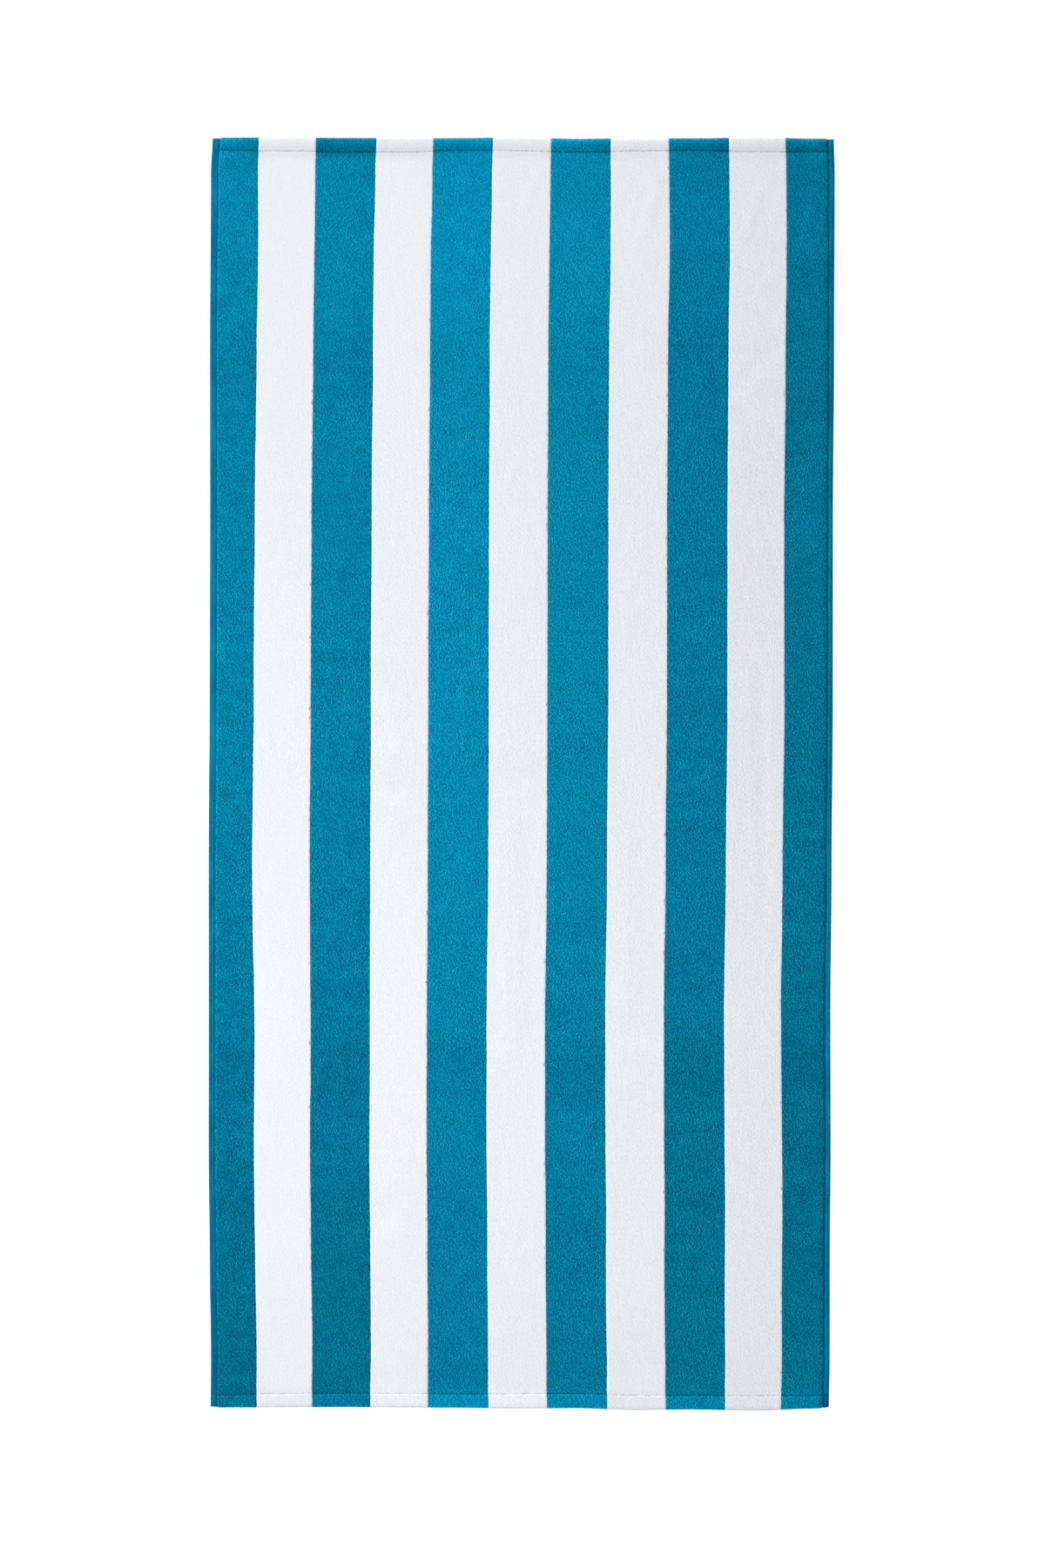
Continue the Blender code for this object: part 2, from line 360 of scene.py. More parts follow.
# The pile's shoulder beside a side band's groove.
SHOULDER_SECTIONS = [
    Section(inset=0.0085, height=0.0009),
    Section(inset=0.0086, height=0.0022),
    Section(inset=0.0092, height=0.0032),
    Section(inset=0.0108, height=0.0037),
    Section(inset=0.0150, height=0.0037),
    Section(inset=0.0340, height=TERRY_THICKNESS),
]

# The same on the right, where the pile falls to its groove more softly.
RIGHT_SHOULDER_SECTIONS = [
    Section(inset=0.0073, height=0.0012),
    Section(inset=0.0075, height=0.0020),
    Section(inset=0.0085, height=0.0027),
    Section(inset=0.0100, height=0.0032),
    Section(inset=0.0122, height=0.0036),
    Section(inset=0.0155, height=0.0037),
    Section(inset=0.0340, height=TERRY_THICKNESS),
]
TUFT_WANDER = 0.00035  # how unevenly the tufts hang over a groove
TUFT_CELL = 0.0040
TUFT_REACH = 0.0140  # from the edge to where they lie evenly

GROOVES = [
    Groove(along=-0.766, left=0.0002, right=0.0, left_tone=-0.08, right_tone=-0.28),
    Groove(along=-0.750, left=0.0002, right=0.0, left_tone=-0.10, right_tone=-0.24),
    Groove(along=-0.744, left=0.0002, right=0.0, left_tone=-0.14, right_tone=-0.02),
    Groove(along=-0.590, left=0.0001, right=-0.0002, left_tone=-0.12, right_tone=-0.03),
    Groove(along=-0.433, left=0.0, right=-0.0003, left_tone=0.0, right_tone=0.02),
    Groove(along=-0.013, left=0.0003, right=-0.0001, left_tone=0.02, right_tone=-0.02),
    Groove(along=0.302, left=0.0007, right=-0.0007, left_tone=0.0, right_tone=-0.04),
    Groove(along=0.617, left=0.0004, right=0.0, left_tone=0.0, right_tone=-0.02),
    Groove(along=0.740, left=0.0009, right=0.0003, left_tone=0.04, right_tone=-0.02),
    Groove(along=0.766, left=0.0018, right=0.0006, left_tone=0.14, right_tone=0.0),
]

# A side band from the floor, round its edge and into the groove.
BAND_SECTIONS = [
    Section(inset=0.0012, height=0.0001),
    Section(inset=0.0003, height=0.0004),
    Section(inset=0.0000, height=0.0011),
    Section(inset=0.0004, height=0.0018),
    Section(inset=0.0014, height=0.0021),
    Section(inset=0.0030, height=0.0019),
    Section(inset=0.0046, height=0.0021),
    Section(inset=0.0068, height=0.0019),
    Section(inset=0.0081, height=0.0013),
    Section(inset=0.0097, height=0.0011),
]

BAND_STEP = 0.0007  # between its columns
BAND_SHARE = 0.005  # a place across the towel that lies in the left one

# Insets in those sections, and how light each band's weave is there, with painted light on its
# rounded edge and painted shade into its groove.
LEFT_BAND_PAINTED_LIGHT = (
    [0.0, 0.0010, 0.0024, 0.0046, 0.0066, 0.0079, 0.0087],
    [0.84, 0.76, 0.53, 0.51, 0.58, 0.52, 0.40],
)
RIGHT_BAND_PAINTED_LIGHT = (
    [0.0, 0.0018, 0.0030, 0.0050, 0.0062, 0.0074, 0.0090],
    [0.70, 0.36, 0.57, 0.68, 0.58, 0.46, 0.34],
)
SHOULDER_TONES = (0.04, 0.08)  # how much lighter the pile is beside the left and right grooves
SHOULDER_FADE = 0.004  # over this length


class Lines(NamedTuple):
    """Grid lines over the cloth from one edge to the other, as one array for each column."""

    share: np.ndarray  # of the way to the far edge
    inset: np.ndarray  # from the near edge, or from the far one if negative
    height: np.ndarray
    lean: np.ndarray = None  # for rows, the surface normal's part along the cloth
    rise: np.ndarray = None  # and its upright part


def ease(share):
    """Smooth rise from 0 to 1."""
    share = np.clip(share, 0.0, 1.0)
    return share * share * (3.0 - 2.0 * share)


def read_table(rows, at):
    """The values of a table's other columns where its first column is `at`, eased between rows."""
    at = np.asarray(at, float)
    keys = np.array([row[0] for row in rows])
    low = np.clip(np.searchsorted(keys, at, side="right") - 1, 0, len(rows) - 2)
    share = ease((at - keys[low]) / (keys[low + 1] - keys[low]))
    values = np.array([row[1:] for row in rows])
    found = values[low] + (values[low + 1] - values[low]) * share[..., None]
    return np.moveaxis(found, -1, 0)


def fold_height(x, y):
    """The sum of all folds at points of the cloth."""
    total = np.zeros(np.broadcast(x, y).shape)
    for fold in FOLDS:
        (start_x, start_y), (end_x, end_y) = fold.start, fold.end
        run_x, run_y = end_x - start_x, end_y - start_y
        along = ((x - start_x) * run_x + (y - start_y) * run_y) / (run_x**2 + run_y**2)
        along = np.clip(along, 0.0, 1.0)
        gap = np.hypot(x - start_x - along * run_x, y - start_y - along * run_y)
        total += fold.height * ease(1.0 - gap / fold.reach)
    return total


def smooth_line(points, step):
    """A smooth curve through 2D points, as evenly spaced points on it and their unit normals."""
    points = np.array(points)
    padded = np.vstack([2 * points[0] - points[1], points, 2 * points[-1] - points[-2]])
    fine = []
    for a, b, c, d in zip(padded, padded[1:], padded[2:], padded[3:]):
        t = np.linspace(0.0, 1.0, CURVE_PARTS, endpoint=False)[:, None]
        fine.append(0.5 * (2 * b + (c - a) * t + (2 * a - 5 * b + 4 * c - d) * t**2
                           + (3 * b - a - 3 * c + d) * t**3))
    fine = np.vstack(fine + [points[-1:]])
    length = np.append(0.0, np.cumsum(np.linalg.norm(np.diff(fine, axis=0), axis=1)))
    stops = np.linspace(0.0, length[-1], max(2, round(length[-1] / step) + 1))
    line = np.stack([np.interp(stops, length, fine[:, k]) for k in (0, 1)], axis=1)
    run = np.gradient(line, axis=0)
    run /= np.linalg.norm(run, axis=1)[:, None]
    normals = np.stack([-run[:, 1], run[:, 0]], axis=1)
    return line, normals


def lattice_noise(rng, x, y, cell_x, cell_y):
    """Smooth random values between -1 and 1 over the cloth, with features of one cell."""
    gx = (np.asarray(x) - LATTICE_START) / cell_x
    gy = (np.asarray(y) - LATTICE_START) / cell_y
    grid = rng.uniform(-1.0, 1.0, (int(gx.max()) + 3, int(gy.max()) + 3))
    ix, iy = gx.astype(int), gy.astype(int)
    tx, ty = ease(gx - ix), ease(gy - iy)
    low = grid[ix, iy] * (1 - tx) + grid[ix + 1, iy] * tx
    high = grid[ix, iy + 1] * (1 - tx) + grid[ix + 1, iy + 1] * tx
    return low * (1 - ty) + high * ty


def noise_along(rng, y, cell):
    """Smooth random values between -1 and 1 along the towel, the same all the way across."""
    return lattice_noise(rng, np.zeros(len(y)), y, 1.0, cell)


def lean_at(share, y):
    """How far the cloth's lengthwise lines shift at one share of the width."""
    shifts = read_table([(lean.along, *lean.shifts) for lean in LEANS], y)
    lower = int(np.clip(np.searchsorted(LEAN_SHARES, share) - 1, 0, len(LEAN_SHARES) - 2))
    blend = ease((share - LEAN_SHARES[lower]) / (LEAN_SHARES[lower + 1] - LEAN_SHARES[lower]))
    return shifts[lower] + (shifts[lower + 1] - shifts[lower]) * blend


def stripe_edge_x(number, y):
    """Where a line between two stripes, or the towel's own edge, lies at places along it."""
    left, right = read_table(SIDES, y)
    if number == 0:
        return left
    if number == len(STRIPE_EDGES) + 1:
        return right
    share = STRIPE_EDGES[number - 1]
    rng = np.random.default_rng(EDGE_SEED + number)
    wander = noise_along(rng, y, EDGE_CELL) * EDGE_WANDER
    tufts = noise_along(rng, y, EDGE_TUFT_CELL) * EDGE_TUFTS
    return left + (right - left) * share + lean_at(share, y) + wander + tufts


def stripe_numbers(x, y):
    """Which stripe each point of the cloth lies in, counted from the left side."""
    left, right = read_table(SIDES, y)
    crossed = [x > left + (right - left) * share + lean_at(share, y) for share in STRIPE_EDGES]
    return np.sum(crossed, axis=0)


def length_lines():
    """Rows along the towel, over both hems and the open cloth between them."""
    line, normals = smooth_line(HEM_SECTIONS, HEM_STEP)
    line = np.vstack([line, GROOVE_SECTIONS])
    normals = np.vstack([normals, [(0.0, 1.0)] * len(GROOVE_SECTIONS)])
    margin = GROOVE_SECTIONS[-1].inset / FLAT_LENGTH
    count = round((1.0 - 2.0 * margin) * FLAT_LENGTH / PILE_STEP)
    shares = np.linspace(margin, 1.0 - margin, count + 1)[1:-1]
    flat = np.zeros(len(shares))
    return Lines(
        share=np.concatenate([np.zeros(len(line)), shares, np.ones(len(line))]),
        inset=np.concatenate([line[:, 0], flat, -line[::-1, 0]]),
        height=np.concatenate([line[:, 1], flat + TERRY_THICKNESS, line[::-1, 1]]),
        lean=np.concatenate([normals[:, 0], flat, -normals[::-1, 0]]),
        rise=np.concatenate([normals[:, 1], flat + 1.0, normals[::-1, 1]]),
    )


def row_places(rows, across):
    """Y on every row at shares across the towel, one for each column or one for each point."""
    foot, head = read_table(ENDS, across)
    foot_line, head_line = read_table(STITCH_LINES, across)
    near = [0.0, HEM_DEPTH, GROOVE_SECTIONS[-1].inset]
    pull = np.interp(np.abs(rows.inset), near, [0.0, 1.0, 0.0])[:, None]
    shift = np.where(rows.share[:, None] < 0.5, foot_line - HEM_DEPTH, HEM_DEPTH - head_line) * pull
    return foot + (head - foot) * rows.share[:, None] + rows.inset[:, None] + shift


def grid_faces(index, flipped=False):
    """Faces between the neighbouring rows and columns of a grid of vertex numbers."""
    corners = [index[:-1, :-1], index[:-1, 1:], index[1:, 1:], index[1:, :-1]]
    if flipped:
        corners[1], corners[3] = corners[3], corners[1]
    return np.stack(corners, axis=-1).reshape(-1, 4).tolist()


def centred_mesh(name, points, faces):
    """A mesh from points in the tables' coordinates, with the footprint's middle at 0."""
    mesh = bpy.data.meshes.new(name)
    centred = points - np.array([*MIDDLE, 0.0])
    mesh.from_pydata(centred.reshape(-1, 3).tolist(), [], faces)
    return mesh


def grid_object(name, points, material, lanes):
    """A mesh from a grid of points, with a UV map that lays its length out in a few lanes."""
    rows, columns = points.shape[:2]
    faces = grid_faces(np.arange(rows * columns).reshape(rows, columns))
    mesh = centred_mesh(name, points, faces)
    lane_map(mesh, rows - 1, columns - 1, lanes)
    return shown_piece(name, mesh, [material])


def shown_piece(name, mesh, materials):
    """A smooth piece from the mesh."""
    for material in materials:
        mesh.materials.append(material)
    mesh.shade_smooth()
    return add_object(name, mesh)


def add_object(name, data):
    """An object in the scene for a mesh, a lamp or a camera."""
    added = bpy.data.objects.new(name, data)
    bpy.context.scene.collection.objects.link(added)
    return added


LANE_GAP = 0.004  # between lanes of the map, as a share of it
STRIPE_LANES, SIDE_STRIPE_LANES, BAND_LANES = 5, 6, 10


def lane_map(mesh, rows, columns, lanes):
    """A UV map of a grid's faces, its rows cut into lanes that lie side by side."""
    per_lane = math.ceil(rows / lanes)
    row, column = np.mgrid[0:rows, 0:columns]
    lane, start = row // per_lane, row % per_lane
    corners = []
    for step_row, step_column in ((0, 0), (0, 1), (1, 1), (1, 0)):
        across = (column + step_column) / columns
        u = (lane + LANE_GAP * lanes + across * (1 - 2 * LANE_GAP * lanes)) / lanes
        v = LANE_GAP + (start + step_row) / per_lane * (1 - 2 * LANE_GAP)
        corners.append(np.stack([u, v], axis=-1))
    layer = mesh.uv_layers.new(name="OFBake")
    layer.uv.foreach_set("vector", np.stack(corners, axis=2).astype(np.float32).ravel())


def add_value(piece, name, values):
    """Keeps one number for each vertex, for the material to read."""
    attribute = piece.data.attributes.new(name, "FLOAT", "POINT")
    attribute.data.foreach_set("value", np.ascontiguousarray(values, dtype=np.float32).ravel())


# Materials

def new_material(name):
    material = bpy.data.materials.new(name)
    material.use_nodes = True
    return material, material.node_tree


def set_inputs(node, values):
    """Sets plain values on a node's own inputs, by their names."""
    for name, value in values.items():
        node.inputs[name].default_value = value


def set_shader(nt, roughness, specular, sheen=0.0, sheen_tint=(1, 1, 1)):
    shader = nt.nodes["Principled BSDF"]
    set_inputs(shader, {
        "Roughness": roughness,
        "Metallic": 0.0,
        "Specular IOR Level": specular,
        "Sheen Weight": sheen,
        "Sheen Roughness": 0.5,
        "Sheen Tint": (*sheen_tint, 1.0),
    })
    return shader


def link(nt, source, target):
    nt.links.new(source, target)


def fill_inputs(nt, node, values):
    """Links or sets each value to a node's inputs, in their order."""
    for socket, value in zip(node.inputs, values):
        if isinstance(value, bpy.types.NodeSocket):
            link(nt, value, socket)
        else:
            socket.default_value = value
    return node.outputs[0]


def math_node(nt, operation, *values, clamp=False):
    node = nt.nodes.new("ShaderNodeMath")
    node.operation = operation
    node.use_clamp = clamp
    return fill_inputs(nt, node, values)


def vector_node(nt, operation, *values):
    node = nt.nodes.new("ShaderNodeVectorMath")
    node.operation = operation
    return fill_inputs(nt, node, values)


def join_axes(nt, *values):
    return fill_inputs(nt, nt.nodes.new("ShaderNodeCombineXYZ"), values)


def object_place(nt):
    return nt.nodes.new("ShaderNodeTexCoord").outputs["Object"]


def noise(nt, place, scale, detail):
    """Noise from 0 to 1 with features of 1 / scale metres. Three numbers stretch it."""
    node = nt.nodes.new("ShaderNodeTexNoise")
    if isinstance(scale, tuple):
        place, scale = vector_node(nt, "MULTIPLY", place, scale), 1.0
    link(nt, place, node.inputs["Vector"])
    set_inputs(node, {"Scale": scale, "Detail": detail, "Roughness": 0.5})
    return node.outputs["Fac"]


def weighted(nt, base, parts):
    """base plus each part's distance from a half, times its weight."""
    total = base
    for source, weight in parts:
        shifted = math_node(nt, "SUBTRACT", source, 0.5)
        total = math_node(nt, "MULTIPLY_ADD", shifted, weight, total)
    return total


def colour_ramp(nt, value, stops):
    node = nt.nodes.new("ShaderNodeValToRGB")
    ramp = node.color_ramp
    while len(ramp.elements) < len(stops):
        ramp.elements.new(0.5)
    for element, (place, colour) in zip(ramp.elements, stops):
        element.position = place
        element.color = (*colour, 1.0)
    link(nt, value, node.inputs[0])
    return node.outputs["Color"]


def mix_colour(nt, factor, first, second):
    """The first colour, from a node, with a share of the second, a plain one."""
    node = nt.nodes.new("ShaderNodeMix")
    node.data_type = "RGBA"
    share, colour_a, colour_b = (node.inputs[k] for k in (0, 6, 7))
    link(nt, factor, share)
    link(nt, first, colour_a)
    colour_b.default_value = (*second, 1.0)
    return node.outputs[2]


def read_value(nt, name):
    node = nt.nodes.new("ShaderNodeAttribute")
    node.attribute_name = name
    return node.outputs["Fac"]


def separate(nt, place):
    node = nt.nodes.new("ShaderNodeSeparateXYZ")
    link(nt, place, node.inputs[0])
    return node.outputs


def bump(nt, height, strength, distance):
    node = nt.nodes.new("ShaderNodeBump")
    set_inputs(node, {"Strength": strength, "Distance": distance})
    link(nt, height, node.inputs["Height"])
    return node.outputs["Normal"]


class Terry(NamedTuple):
    """The colours of one yarn in the pile, and how strongly each kind of unevenness shows."""

    # From the shaded depth between the tufts to their lit tips: partly the yarn's own unevenness,
    # partly painted shade and painted light.
    shaded_depth: tuple
    middle: tuple
    lit_tip: tuple
    # Painted light beside a seam between two colours: a brighter blue, as if lit by the white
    # beside it, and a white in painted shade.
    seam: tuple
    tufts: float
    fibres: float
    streaks: float
    blotches: float
    lump: float  # height of the lumps from one tuft to the next, in metres
    swell: float
    ripple: float


BLUE = Terry(
    shaded_depth=(0.0002, 0.040, 0.087),
    middle=(0.0005, 0.183, 0.335),
    lit_tip=(0.006, 0.402, 0.614),
    seam=(0.003, 0.215, 0.370),
    tufts=0.50, fibres=1.85, streaks=0.03, blotches=0.20,
    lump=0.00006, swell=0.00007, ripple=0.00018,
)
WHITE = Terry(
    shaded_depth=(0.59, 0.62, 0.658),
    middle=(0.775, 0.798, 0.837),
    lit_tip=(0.895, 0.915, 0.952),
    seam=(0.66, 0.70, 0.74),
    tufts=0.55, fibres=0.50, streaks=0.06, blotches=0.06,
    lump=0.00003, swell=0.00004, ripple=0.00012,
)


TUFT_GAP = 0.0019  # from one tuft to the darker or lighter one beside it
FIBRE_GAP = 0.00135  # and from one bundle of fibres to the next
TUFT_SLANT = 0.32  # how far the tufts lean to the right for each step towards the head
NEIGHBOUR_SHARE = 0.16  # how much of a tuft's light its neighbours lack


def along_tufts(nt, place):
    """The place with its X counted from lines that lean as the tufts do."""
    axes = separate(nt, place)
    across = math_node(nt, "MULTIPLY_ADD", axes["Y"], -TUFT_SLANT, axes["X"])
    return join_axes(nt, across, axes["Y"], axes["Z"])


def combed_noise(nt, place, scale, gap, detail):
    """Noise around a half whose light spots have darker neighbours at a gap across the cloth."""
    parts = [(noise(nt, place, scale, detail), 1.0)]
    for shift in (-gap, gap):
        beside = vector_node(nt, "ADD", place, (shift, 0.0, 0.0))
        parts.append((noise(nt, beside, scale, detail), -NEIGHBOUR_SHARE))
    return weighted(nt, 0.5, parts)


def terry_material(name, yarn):
    """Short dense pile: fine leaning tufts with painted shade between them and painted light on
    their tips, faint rows of the weave, soft blotches, and the tone with its painted light and
    sheen.
    """
    material, nt = new_material(name)
    place = object_place(nt)
    leaning = along_tufts(nt, place)
    tufts = combed_noise(nt, leaning, (850.0, 340.0, 600.0), TUFT_GAP, detail=0.0)
    fibres = combed_noise(nt, leaning, (1700.0, 600.0, 1100.0), FIBRE_GAP, detail=1.0)
    weft = noise(nt, place, (26.0, 420.0, 60.0), detail=1.0)
    warp = noise(nt, place, (460.0, 40.0, 60.0), detail=0.0)
    clumps = noise(nt, place, (240.0, 150.0, 200.0), detail=1.0)
    blotch = noise(nt, place, (60.0, 40.0, 50.0), detail=2.5)
    cloud = noise(nt, place, 9.0, detail=2.0)
    grain = weighted(nt, 0.0, [
        (tufts, yarn.tufts),
        (fibres, yarn.fibres),
        (weft, yarn.streaks * 0.7),
        (warp, yarn.streaks * 2.0),
        (clumps, yarn.blotches * 0.4),
        (blotch, yarn.blotches * 0.5),
        (cloud, yarn.blotches * 0.4),
    ])
    value = math_node(nt, "MULTIPLY_ADD", grain, read_value(nt, "grain"), 0.5)
    # Partly the yarn's own unevenness, partly painted shade between the tufts and painted light on
    # their tips.
    pile = colour_ramp(nt, value, [(0.10, yarn.shaded_depth), (0.5, yarn.middle), (0.90, yarn.lit_tip)])
    # Each stripe's tone, with painted light and shade over the hems and painted sheen on the folded
    # panels.
    tone_and_painted_light = read_value(nt, "tone_and_painted_light")
    toned = vector_node(nt, "MULTIPLY", pile, join_axes(nt, tone_and_painted_light, tone_and_painted_light, tone_and_painted_light))
    # Painted light along the seams, broken up by specks: a brighter blue and a shaded white.
    specks = noise(nt, place, (500.0, 330.0, 400.0), detail=2.0)
    specked = math_node(nt, "MULTIPLY_ADD", specks, 2.2, -0.6, clamp=True)
    seam = math_node(nt, "MULTIPLY", read_value(nt, "seam"), specked, clamp=True)
    shader = set_shader(nt, roughness=0.92, sheen=0.02, sheen_tint=yarn.lit_tip, specular=0.01)
    link(nt, mix_colour(nt, seam, toned, yarn.seam), shader.inputs["Base Color"])
    relief = weighted(nt, 0.5, [(tufts, 0.3), (fibres, 0.7)])
    link(nt, bump(nt, relief, 0.5, 0.00028), shader.inputs["Normal"])
    link(nt, math_node(nt, "MULTIPLY_ADD", fibres, -0.20, 1.0), shader.inputs["Roughness"])
    return material


def ribs(nt, coordinate, pitch):
    """A wave from -1 to 1 with this pitch along one coordinate."""
    return math_node(nt, "SINE", math_node(nt, "MULTIPLY", coordinate, 2 * math.pi / pitch))


def flat_weave_material(name):
    """The side bands' close flat weave: fine ribs both ways, with painted light on the rounded edge
    and painted shade in the groove.
    """
    material, nt = new_material(name)
    place = object_place(nt)
    axes = separate(nt, place)
    wobble = noise(nt, place, 160.0, detail=1.0)
    across = math_node(nt, "MULTIPLY_ADD", wobble, 0.0006, axes["X"])
    along = math_node(nt, "MULTIPLY_ADD", wobble, 0.0005, axes["Y"])
    weave = math_node(nt, "MULTIPLY", ribs(nt, across, 0.0011), ribs(nt, along, 0.0009))
    grain = noise(nt, place, (900.0, 600.0, 800.0), detail=2.0)
    patches = noise(nt, place, (90.0, 22.0, 90.0), detail=2.0)
    tone = math_node(nt, "MULTIPLY_ADD", weave, 0.08, read_value(nt, "tone"))
    value = weighted(nt, tone, [(grain, 0.65), (patches, 0.75)])
    shades = [
        (0.0, (0.0004, 0.050, 0.105)),
        (0.5, (0.0006, 0.165, 0.300)),
        (1.0, (0.008, 0.30, 0.49)),
    ]
    shader = set_shader(nt, roughness=0.85, sheen=0.01, sheen_tint=BLUE.lit_tip, specular=0.01)
    link(nt, colour_ramp(nt, value, shades), shader.inputs["Base Color"])
    link(nt, bump(nt, math_node(nt, "ADD", weave, grain), 0.45, 0.0003), shader.inputs["Normal"])
    link(nt, math_node(nt, "MULTIPLY_ADD", grain, -0.25, 0.98), shader.inputs["Roughness"])
    return material


def thread_material(name, colour):
    """Fine spun thread with a twist."""
    material, nt = new_material(name)
    place = object_place(nt)
    twist = noise(nt, place, (2600.0, 2600.0, 900.0), detail=1.0)
    dark = tuple(0.6 * part for part in colour)
    shader = set_shader(nt, roughness=0.7, specular=0.15)
    link(nt, colour_ramp(nt, twist, [(0.3, dark), (0.65, colour)]), shader.inputs["Base Color"])
    link(nt, bump(nt, twist, 0.4, 0.0002), shader.inputs["Normal"])
    return material


# The pieces

def pile_stripe(number, rng, rows, materials):
    """One stripe of pile, from its place in the row of stripes. It wraps over both hems."""
    colour, yarn = ("white", WHITE) if number % 2 else ("blue", BLUE)
    middle = row_places(rows, np.array([(number + 0.5) / len(STRIPE_TONES)]))[:, 0]
    low, high = stripe_edge_x(number, middle), stripe_edge_x(number + 1, middle)
    columns, seam = stripe_columns(number)
    x = low[:, None] + (high - low)[:, None] * columns.share + columns.inset
    x += shoulder_shift(rng, columns, middle)
    left, right = read_table(SIDES, middle)
    y = row_places(rows, (x - left[:, None]) / (right - left)[:, None])
    solid = rows.height[:, None] * columns.height / TERRY_THICKNESS
    z = solid + fold_height(x, y) * ease(solid / TERRY_THICKNESS)
    held = ease(1.0 - np.abs(np.abs(rows.inset) - HEM_DEPTH) / HOLE_REACH)[:, None]
    hole_rng = np.random.default_rng(HOLE_SEED + number)
    z += held * lattice_noise(hole_rng, x, y, HOLE_CELL, 1.0) * HOLE_DEPTH
    lump = rng.uniform(-1.0, 1.0, x.shape)
    swell = lattice_noise(rng, x, y, SWELL_CELL, SWELL_CELL)
    ripple = lattice_noise(rng, x, y, RIPPLE_CELL, RIPPLE_CELL * RIPPLE_STRETCH)
    rise = lump * yarn.lump + swell * yarn.swell + ripple * yarn.ripple
    rise *= ease(z / LOOSE_HEIGHT)
    inner = np.ones(x.shape)
    inner[:, [0, -1]] = 0.0
    stray = rng.uniform(-JITTER, JITTER, (2, *x.shape)) * inner * np.abs(rows.rise[:, None]) ** 3
    points = np.stack([
        x + stray[0],
        y + stray[1] + rise * rows.lean[:, None],
        np.maximum(z + rise * rows.rise[:, None], FLOOR_GAP),
    ], axis=-1)
    lanes = SIDE_STRIPE_LANES if number in (0, len(STRIPE_EDGES)) else STRIPE_LANES
    piece = grid_object(f"pile_{colour}_{number // 2 + 1}", points, materials[colour], lanes)
    grain = read_table(NAP_SHEENS, y)[4 if number % 2 else 3]
    add_value(piece, "grain", STRIPE_GRAINS[number] * grain)
    add_value(piece, "seam", np.tile(seam, (len(middle), 1)))
    add_value(piece, "tone_and_painted_light", pile_tone_and_painted_light(number, rows, x, y))
    return piece


def pile_tone_and_painted_light(number, rows, x, y):
    """How light the pile looks: its stripe's tone with soft patches and streaks, the hems' painted
    light and shade, painted sheen on each folded panel, and lighter shoulders beside the grooves.
    """
    column = number % 2
    from_foot = np.where(rows.share == 0.0, rows.inset, FAR)
    from_head = np.where(rows.share == 1.0, -rows.inset, FAR)
    foot_fade = ease((STRIPE_TONES_END - from_foot) / STRIPE_TONES_FADE)
    head_fade = ease((STRIPE_TONES_END - from_head) / STRIPE_TONES_FADE)
    # The hems' painted light and shade.
    foot = read_table(FOOT_PAINTED_LIGHT, from_foot)[column]
    foot *= 1.0 + (FOOT_STRIPE_TONES[number] - 1.0) * foot_fade
    head = read_table(HEAD_PAINTED_LIGHT, from_head)[column]
    head *= 1.0 + (HEAD_STRIPE_TONES[number] - 1.0) * head_fade
    tone_and_painted_light = read_table(NAP_SHEENS, y)
    slope = tone_and_painted_light[2] * (1 - column)
    rng = np.random.default_rng(NAP_SEED + number)
    uneven = lattice_noise(rng, x, y, PATCH_CELL, PATCH_CELL) * STRIPE_PATCHES[number]
    uneven += lattice_noise(rng, x, y, STREAK_LENGTH, STREAK_CELL) * STRIPE_STREAKS[number]
    left, right = read_table(SIDES, y)
    for inset, lighter in zip((x - left, right - x), SHOULDER_TONES):
        uneven += lighter * ease((TUFT_REACH - inset) / SHOULDER_FADE) * (inset > RIGHT_BAND)
    across = (x - x[:, :1]) / (x[:, -1:] - x[:, :1]) - 0.5
    graded = head_fade[:, None] * HEAD_STRIPE_SLOPES[number]
    tone = (foot * head)[:, None] * tone_and_painted_light[column] * STRIPE_TONES[number] * (1.0 + graded * across)
    return tone * (1.0 + slope * x / FLAT_WIDTH) * (1.0 + uneven)


def stripe_columns(number):
    """Columns across one stripe, and how strongly the painted light beside a seam between two
    colours shows on each.
    """
    seam_side = [
        Section(inset=0.0, height=TERRY_THICKNESS - SEAM_DIP),
        Section(inset=SEAM_MIDDLE * SEAM_REACH, height=TERRY_THICKNESS - SEAM_MIDDLE * SEAM_DIP),
        Section(inset=SEAM_REACH, height=TERRY_THICKNESS),
    ]
    first, last = number == 0, number == len(STRIPE_EDGES)
    near = shoulder(SHOULDER_SECTIONS) if first else seam_side
    far = shoulder(RIGHT_SHOULDER_SECTIONS) if last else seam_side
    width = SIDE_STRIPE_WIDTH if first or last else STRIPE_WIDTH
    start, stop = near[-1].inset, width - far[-1].inset
    inner = np.linspace(start, stop, max(2, round((stop - start) / PILE_STEP)) + 1)[1:-1] / width
    columns = [(0.0, inset, height) for inset, height in near]
    columns += [(share, 0.0, TERRY_THICKNESS) for share in inner]
    columns += [(1.0, -inset, height) for inset, height in reversed(far)]
    share, inset, height = np.array(columns).T
    seam = np.zeros(len(columns))
    if not first:
        seam[:2] = SEAM_SHADES
    if not last:
        seam[-2:] = SEAM_SHADES[::-1]
    return Lines(share, inset, height), seam


def shoulder(sections):
    """The lengthwise lines of the pile's shoulder beside a groove."""
    line, _ = smooth_line(sections, SHOULDER_STEP)
    return [Section(*point) for point in line]


